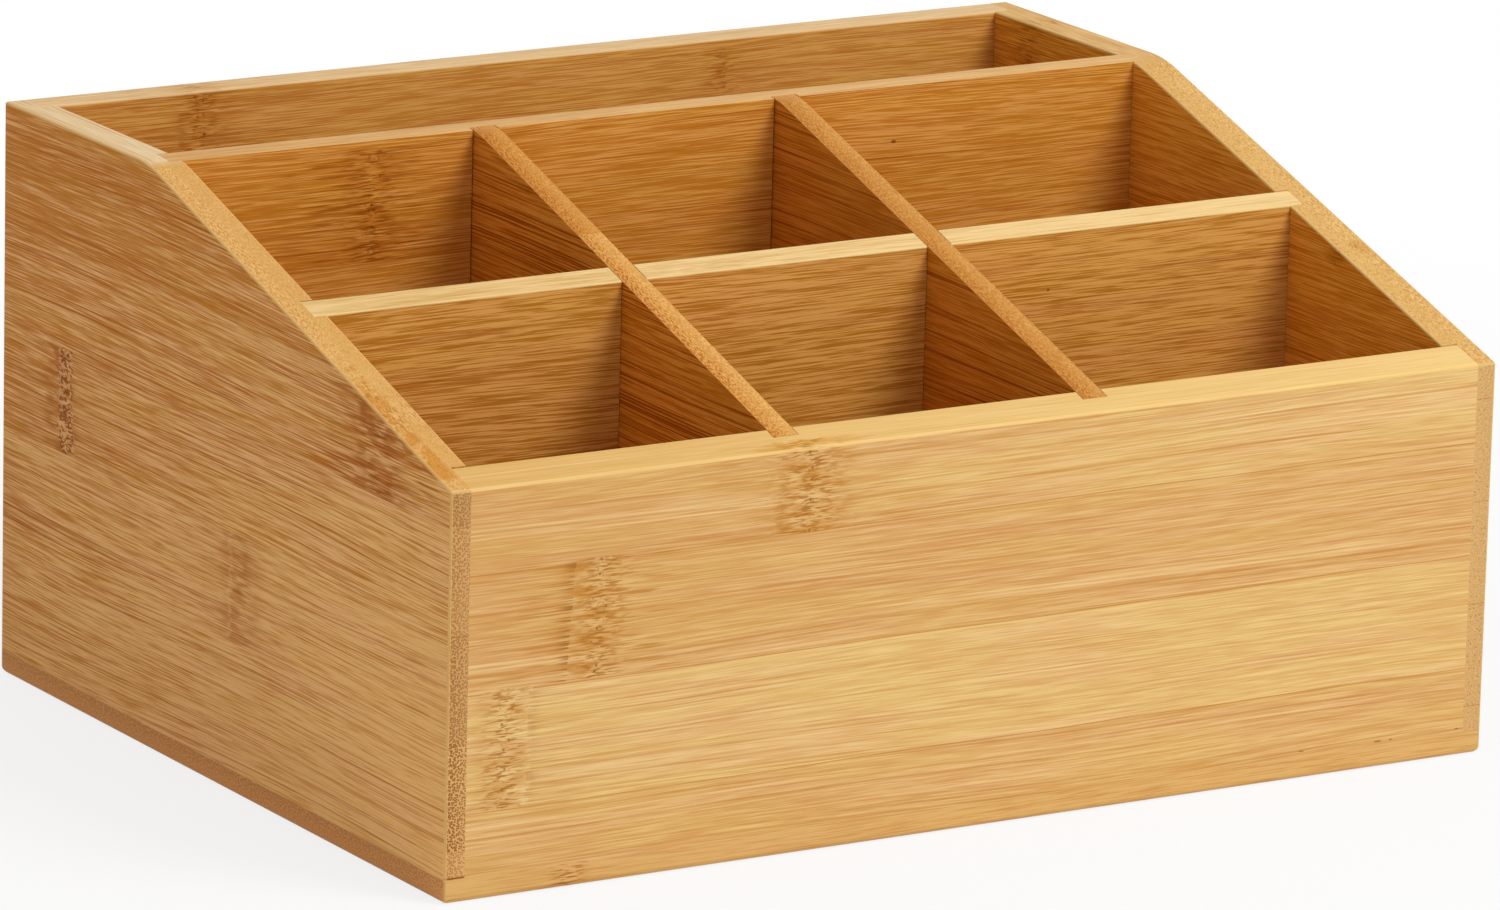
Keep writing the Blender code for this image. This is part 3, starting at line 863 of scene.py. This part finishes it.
class SorterStudio(bpy.types.PropertyGroup):
    """Camera, light and floor."""

    camera_place: FloatVectorProperty(
        name="Camera", description="Where the camera stands", size=3,
        default=(-1.32582, -2.17385, 0.71471), subtype="TRANSLATION", unit="LENGTH")
    camera_aim: FloatVectorProperty(
        name="Aim", description="Where the camera looks", size=3,
        default=(0.00100, -0.00284, 0.06901), subtype="TRANSLATION", unit="LENGTH")
    camera_roll: FloatProperty(
        name="Roll", description="How far the camera is turned about its own view",
        default=math.radians(1.4475), subtype="ANGLE")
    camera_lens: FloatProperty(
        name="Lens", description="Focal length on a sensor 36 mm wide", default=245.294,
        min=1.0, unit="CAMERA")
    world_light: FloatProperty(
        name="Surrounding Light", description="Strength of the even light from all sides",
        default=0.55, min=0.0)
    key_light: FloatProperty(
        name="Key Light", description="Power of the large soft lamp", default=30.0, min=0.0, unit="POWER")
    key_place: FloatVectorProperty(
        name="Key Place", description="Where the large soft lamp hangs", size=3,
        default=(0.80, -1.40, 1.75), subtype="TRANSLATION", unit="LENGTH")
    key_size: FloatProperty(
        name="Key Size", description="Width of the large soft lamp", default=1.1, min=0.01, unit="LENGTH")
    floor_color: FloatVectorProperty(
        name="Floor", description="Colour of the pale floor", size=3,
        default=(0.86, 0.86, 0.86), min=0.0, max=1.0, subtype="COLOR")
    floor_gap: FloatProperty(
        name="Floor Gap", description="How far the floor lies below the sorter",
        default=0.0001, min=0.0, max=0.001, precision=5, unit="LENGTH")
    floor_size: FloatProperty(
        name="Floor Size", description="Radius of the floor", default=9.0, min=1.0, unit="LENGTH")


class SORTER_OT_stage(bpy.types.Operator):
    """Set up the floor, the light and the camera."""

    bl_idname = "sorter.stage"
    bl_label = "Studio"

    def execute(self, context):
        studio = context.scene.sorter_studio
        make_floor(studio)
        make_world(studio)
        make_key(studio)
        make_camera(studio)
        return {"FINISHED"}


def seen_directly(bench):
    """One for what the camera or a reflection sees, and nothing for light on its way to a surface."""
    path = bench.add("ShaderNodeLightPath").outputs
    return bench.largest(path["Is Camera Ray"], path["Is Glossy Ray"], path["Is Transmission Ray"])


def make_floor(studio):
    """A pale round floor that keeps the shadow and fades to plain white far from the sorter."""
    shape = bmesh.new()
    bmesh.ops.create_circle(shape, cap_ends=True, segments=96, radius=studio.floor_size)
    bmesh.ops.translate(shape, verts=shape.verts, vec=(0.0, 0.0, -studio.floor_gap))
    floor = shaped_object("floor", shape)
    material = bpy.data.materials.new("pale floor")
    bench = empty_bench(material)
    paint = bench.feed_named(bench.add("ShaderNodeBsdfDiffuse"), Color=tuple(studio.floor_color))
    glow = bench.feed_named(bench.add("ShaderNodeEmission"), Color=WHITE, Strength=1.0)
    away = bench.vector("MULTIPLY", bench.add("ShaderNodeTexCoord").outputs["Object"], (1.0, 1.0, 0.0))
    whiteness = bench.ease(bench.vector_length(away), FADE_START, FADE_END, NEAR_WHITENESS, 1.0)
    share = bench.times(whiteness, seen_directly(bench))
    blend = bench.calculate("ShaderNodeMixShader", (share, paint, glow))
    bench.feed_named(bench.add("ShaderNodeOutputMaterial"), Surface=blend)
    floor.data.materials.append(material)


def make_world(studio):
    """Even light from all sides, white where the camera or a reflection sees it."""
    world = bpy.data.worlds.new("studio")
    bench = empty_bench(world)
    strength = bench.line(seen_directly(bench), 1.0 - studio.world_light, studio.world_light)
    light = bench.feed_named(bench.add("ShaderNodeBackground"), Color=WHITE, Strength=strength)
    bench.feed_named(bench.add("ShaderNodeOutputWorld"), Surface=light)
    bpy.context.scene.world = world


def make_key(studio):
    """The large soft lamp, from the front and the right."""
    lamp = bpy.data.lights.new("key lamp", "AREA")
    lamp.energy = studio.key_light
    lamp.shape = "DISK"
    lamp.size = studio.key_size
    key = new_object("key_lamp", lamp)
    key.location = studio.key_place
    key.rotation_euler = (-Vector(studio.key_place)).to_track_quat("-Z", "Y").to_euler()


def make_camera(studio):
    """The camera at the photograph's place."""
    lens = bpy.data.cameras.new("camera")
    lens.lens = studio.camera_lens
    lens.sensor_width = 36.0
    lens.clip_end = 50.0
    camera = new_object("camera", lens)
    view = Vector(studio.camera_aim) - Vector(studio.camera_place)
    roll = Quaternion((0.0, 0.0, 1.0), studio.camera_roll)
    camera.rotation_mode = "QUATERNION"
    camera.rotation_quaternion = view.to_track_quat("-Z", "Y") @ roll
    camera.location = studio.camera_place
    bpy.context.scene.camera = camera
    bpy.context.scene.view_settings.view_transform = "Standard"


class SORTER_OT_base(bpy.types.Operator):
    """Dress the base board."""

    bl_idname = "sorter.base"
    bl_label = "Base Board"

    def execute(self, context):
        dress_board("base_board")
        return {"FINISHED"}


class SORTER_OT_sides(bpy.types.Operator):
    """Dress the two side panels."""

    bl_idname = "sorter.sides"
    bl_label = "Side Panels"

    def execute(self, context):
        for name in ("left_side_panel", "right_side_panel"):
            dress_board(name)
        return {"FINISHED"}


class SORTER_OT_front(bpy.types.Operator):
    """Dress the front panel."""

    bl_idname = "sorter.front"
    bl_label = "Front Panel"

    def execute(self, context):
        dress_board("front_panel")
        return {"FINISHED"}


class SORTER_OT_back(bpy.types.Operator):
    """Dress the back panel."""

    bl_idname = "sorter.back"
    bl_label = "Back Panel"

    def execute(self, context):
        dress_board("back_panel")
        return {"FINISHED"}


class SORTER_OT_cross_dividers(bpy.types.Operator):
    """Dress the two dividers that run from side to side."""

    bl_idname = "sorter.cross_dividers"
    bl_label = "Cross Dividers"

    def execute(self, context):
        for name in ("middle_cross_divider", "rear_cross_divider"):
            dress_board(name)
        return {"FINISHED"}


class SORTER_OT_column_dividers(bpy.types.Operator):
    """Dress the two dividers that run from front to back."""

    bl_idname = "sorter.column_dividers"
    bl_label = "Column Dividers"

    def execute(self, context):
        for name in ("left_column_divider", "right_column_divider"):
            dress_board(name)
        return {"FINISHED"}


PIECES = (SORTER_OT_base, SORTER_OT_sides, SORTER_OT_front, SORTER_OT_back,
          SORTER_OT_cross_dividers, SORTER_OT_column_dividers)


class SORTER_PT_panel(bpy.types.Panel):
    """The sorter's sizes, its studio and its pieces."""

    bl_idname = "SORTER_PT_panel"
    bl_label = "Mail Sorter"
    bl_space_type = "VIEW_3D"
    bl_region_type = "UI"
    bl_category = "Mail Sorter"

    def draw(self, context):
        layout = self.layout
        for settings in (context.scene.sorter_edges, context.scene.sorter_studio):
            box = layout.box()
            for name in settings.__annotations__:
                box.prop(settings, name)
        for operator in (SORTER_OT_stage, *PIECES):
            layout.operator(operator.bl_idname)


CLASSES = (SorterEdges, SorterStudio, SORTER_OT_stage, *PIECES, SORTER_PT_panel)


def register():
    for cls in CLASSES:
        bpy.utils.register_class(cls)
    bpy.types.Scene.sorter_edges = PointerProperty(type=SorterEdges)
    bpy.types.Scene.sorter_studio = PointerProperty(type=SorterStudio)


def unregister():
    del bpy.types.Scene.sorter_studio
    del bpy.types.Scene.sorter_edges
    for cls in reversed(CLASSES):
        bpy.utils.unregister_class(cls)


def main():
    register()
    bpy.ops.sorter.stage()
    bpy.ops.sorter.base()
    bpy.ops.sorter.sides()
    bpy.ops.sorter.front()
    bpy.ops.sorter.back()
    bpy.ops.sorter.cross_dividers()
    bpy.ops.sorter.column_dividers()


if __name__ == "__main__":
    main()
